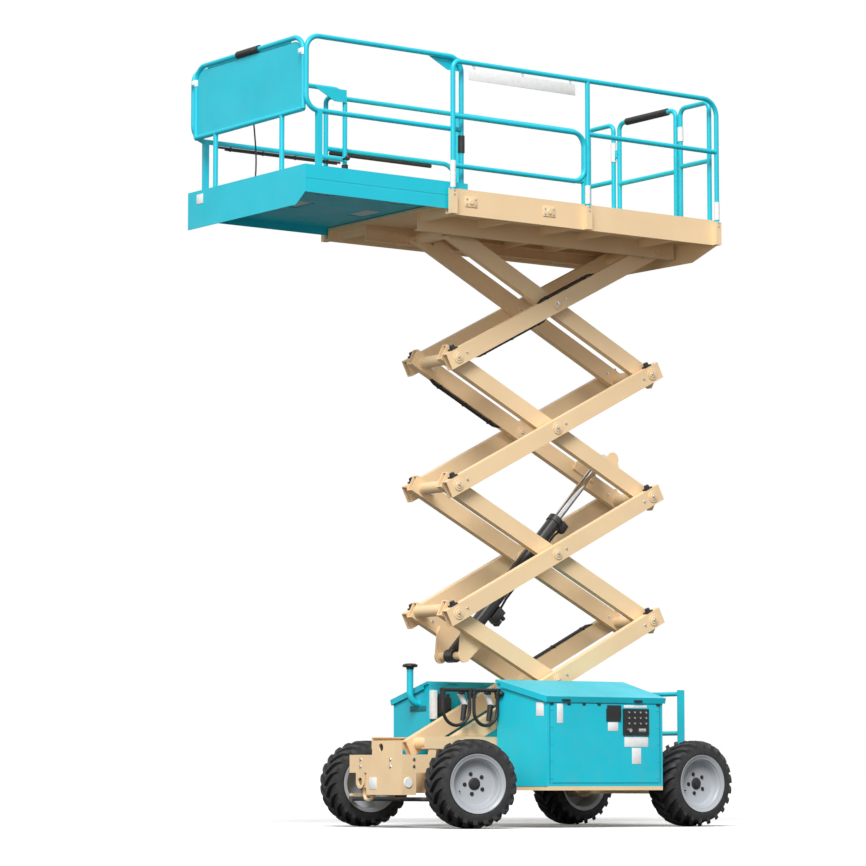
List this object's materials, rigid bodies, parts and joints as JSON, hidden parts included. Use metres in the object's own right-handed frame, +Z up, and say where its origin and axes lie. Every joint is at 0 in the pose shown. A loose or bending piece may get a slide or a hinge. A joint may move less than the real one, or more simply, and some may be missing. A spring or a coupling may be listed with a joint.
{
  "type": "scissor lift",
  "caption": "Rough-terrain scissor lift: wheeled chassis with side hoods, crossed arm stack and lift cylinder carrying a railed platform with a sliding deck extension.",
  "frame": {"origin": "on the ground, under the middle of the machine's box", "axes": "+X to the rear, +Y to the machine's right, +Z up"},
  "size_m": [3.9876, 1.9004, 5.778],
  "materials": {
    "turquoise_paint": "gloss coat",
    "cream_paint": "satin coat",
    "black_plastic": "matte",
    "black_rubber": "matte",
    "engine_iron": "satin",
    "floor_grey": "satin",
    "rim_grey": "satin",
    "tyre_rubber": "matte",
    "cylinder_black": "satin",
    "rod_chrome": "polished",
    "tie_rod_steel": "brushed"
  },
  "bodies": {
    "chassis": {"chassis_frame": "cream_paint", "front_axle": "cream_paint", "rear_axle": "cream_paint", "slide_tracks": "cream_paint", "hood_trays": "cream_paint", "near_hood": "turquoise_paint", "far_hood": "turquoise_paint", "near_side_panel": "turquoise_paint", "far_side_panel": "turquoise_paint", "ground_controls": "black_plastic", "engine_block": "engine_iron", "hydraulic_tank": "engine_iron", "filler_neck": "turquoise_paint", "filler_cap": "black_plastic", "front_hoses": "black_rubber", "rear_ladder": "turquoise_paint"},
    "near_lid": {"near_lid": "turquoise_paint"},
    "far_lid": {"far_lid": "turquoise_paint"},
    "near_knuckle": {"near_knuckle": "cream_paint"},
    "far_knuckle": {"far_knuckle": "cream_paint"},
    "tie_rod": {"tie_rod": "tie_rod_steel"},
    "near_front_wheel": {"near_front_tyre": "tyre_rubber", "near_front_rim": "rim_grey"},
    "far_front_wheel": {"far_front_tyre": "tyre_rubber", "far_front_rim": "rim_grey"},
    "near_rear_wheel": {"near_rear_tyre": "tyre_rubber", "near_rear_rim": "rim_grey"},
    "far_rear_wheel": {"far_rear_tyre": "tyre_rubber", "far_rear_rim": "rim_grey"},
    "inner_arms_1": {"inner_arms_1": "cream_paint"},
    "outer_arms_1": {"outer_arms_1": "cream_paint"},
    "inner_arms_2": {"inner_arms_2": "cream_paint"},
    "outer_arms_2": {"outer_arms_2": "cream_paint"},
    "inner_arms_3": {"inner_arms_3": "cream_paint"},
    "outer_arms_3": {"outer_arms_3": "cream_paint"},
    "inner_arms_4": {"inner_arms_4": "cream_paint"},
    "outer_arms_4": {"outer_arms_4": "cream_paint"},
    "lift_barrel": {"lift_barrel": "cylinder_black"},
    "lift_rod": {"lift_rod": "rod_chrome"},
    "platform": {"platform_deck": "cream_paint", "near_guardrail": "turquoise_paint", "far_guardrail": "turquoise_paint", "rear_guardrail": "turquoise_paint", "rail_cable": "black_rubber"},
    "gate": {"entry_gate": "turquoise_paint", "gate_grip": "black_rubber"},
    "extension": {"extension_deck": "turquoise_paint", "extension_floor": "floor_grey", "near_extension_rail": "turquoise_paint", "far_extension_rail": "turquoise_paint", "front_hoop": "turquoise_paint", "front_sheet": "turquoise_paint", "hoop_grip": "black_rubber", "platform_controls": "black_plastic", "push_handles": "black_rubber"}
  },
  "joints": [
    {"name": "lift", "type": "hinge", "parent": "chassis", "child": "inner_arms_1", "pos_m": [1.67285, 0, 0.636], "axis": [0, 1, 0], "range_deg": [-22, 29.4]},
    {"name": "outer_1", "type": "hinge", "parent": "inner_arms_1", "child": "outer_arms_1", "pos_m": [0.7168, 0, 1.12313], "axis": [0, 1, 0], "range_deg": [-58.8, 44]},
    {"name": "inner_2", "type": "hinge", "parent": "outer_arms_1", "child": "inner_arms_2", "pos_m": [1.67285, 0, 1.61026], "axis": [0, 1, 0], "range_deg": [-44, 58.8]},
    {"name": "outer_2", "type": "hinge", "parent": "inner_arms_2", "child": "outer_arms_2", "pos_m": [0.7168, 0, 2.0974], "axis": [0, 1, 0], "range_deg": [-58.8, 44]},
    {"name": "inner_3", "type": "hinge", "parent": "outer_arms_2", "child": "inner_arms_3", "pos_m": [1.67285, 0, 2.58453], "axis": [0, 1, 0], "range_deg": [-44, 58.8]},
    {"name": "outer_3", "type": "hinge", "parent": "inner_arms_3", "child": "outer_arms_3", "pos_m": [0.7168, 0, 3.07166], "axis": [0, 1, 0], "range_deg": [-58.8, 44]},
    {"name": "inner_4", "type": "hinge", "parent": "outer_arms_3", "child": "inner_arms_4", "pos_m": [1.67285, 0, 3.55879], "axis": [0, 1, 0], "range_deg": [-44, 58.8]},
    {"name": "outer_4", "type": "hinge", "parent": "inner_arms_4", "child": "outer_arms_4", "pos_m": [0.7168, 0, 4.04592], "axis": [0, 1, 0], "range_deg": [-58.8, 44]},
    {"name": "platform_level", "type": "hinge", "parent": "outer_arms_4", "child": "platform", "pos_m": [1.67285, 0, 4.53305], "axis": [0, 1, 0], "range_deg": [-22, 29.4]},
    {"name": "barrel_swing", "type": "hinge", "parent": "inner_arms_1", "child": "lift_barrel", "pos_m": [-0.08418, 0, 1.30005], "axis": [0, 1, 0], "range_deg": [-54.39, 40.7]},
    {"name": "rod_slide", "type": "slide", "parent": "lift_barrel", "child": "lift_rod", "axis": [0.6803, 0, 0.7329], "range_m": [-0.4997, 0.6676]},
    {"name": "deck_slide", "type": "slide", "parent": "platform", "child": "extension", "axis": [-1, 0, 0], "range_m": [-1.2, 0]},
    {"name": "gate_swing", "type": "hinge", "parent": "platform", "child": "gate", "pos_m": [1.88455, 0.398, 5.14105], "axis": [0, 0, -1], "range_deg": [0, 90]},
    {"name": "near_lid_hinge", "type": "hinge", "parent": "chassis", "child": "near_lid", "pos_m": [0.61985, -0.352, 1.104], "axis": [-1, 0, 0], "range_deg": [0, 65]},
    {"name": "far_lid_hinge", "type": "hinge", "parent": "chassis", "child": "far_lid", "pos_m": [0.61985, 0.352, 1.104], "axis": [1, 0, 0], "range_deg": [0, 65]},
    {"name": "steer", "type": "hinge", "parent": "chassis", "child": "near_knuckle", "pos_m": [-0.42315, -0.615, 0.33], "axis": [0, 0, 1], "range_deg": [-20, 50]},
    {"name": "steer_far", "type": "hinge", "parent": "chassis", "child": "far_knuckle", "pos_m": [-0.42315, 0.615, 0.33], "axis": [0, 0, 1], "range_deg": [-20, 50]},
    {"name": "tie_rod_turn", "type": "hinge", "parent": "near_knuckle", "child": "tie_rod", "pos_m": [-0.56795, -0.49856, 0.214], "axis": [0, 0, 1], "range_deg": [-56.5, 22.6]},
    {"name": "near_front_spin", "type": "hinge", "parent": "near_knuckle", "child": "near_front_wheel", "pos_m": [-0.45291, -0.72608, 0.33], "axis": [0.2588, 0.9659, 0], "continuous": true},
    {"name": "near_rear_spin", "type": "hinge", "parent": "chassis", "child": "near_rear_wheel", "pos_m": [1.66285, -0.73, 0.33], "axis": [0, 1, 0], "continuous": true},
    {"name": "far_front_spin", "type": "hinge", "parent": "far_knuckle", "child": "far_front_wheel", "pos_m": [-0.39339, 0.72608, 0.33], "axis": [0.2588, 0.9659, 0], "continuous": true},
    {"name": "far_rear_spin", "type": "hinge", "parent": "chassis", "child": "far_rear_wheel", "pos_m": [1.66285, 0.73, 0.33], "axis": [0, 1, 0], "continuous": true}
  ],
  "couplings": [
    {"joint": "outer_1", "follows": "lift", "ratio": -2},
    {"joint": "inner_2", "follows": "lift", "ratio": 2},
    {"joint": "outer_2", "follows": "lift", "ratio": -2},
    {"joint": "inner_3", "follows": "lift", "ratio": 2},
    {"joint": "outer_3", "follows": "lift", "ratio": -2},
    {"joint": "inner_4", "follows": "lift", "ratio": 2},
    {"joint": "outer_4", "follows": "lift", "ratio": -2},
    {"joint": "platform_level", "follows": "lift", "ratio": 1},
    {"joint": "barrel_swing", "follows": "lift", "ratio": -1.85},
    {"joint": "rod_slide", "follows": "lift", "m_per_rad": 1.3},
    {"joint": "steer_far", "follows": "steer", "ratio": 1},
    {"joint": "tie_rod_turn", "follows": "steer", "ratio": -1.13}
  ]
}
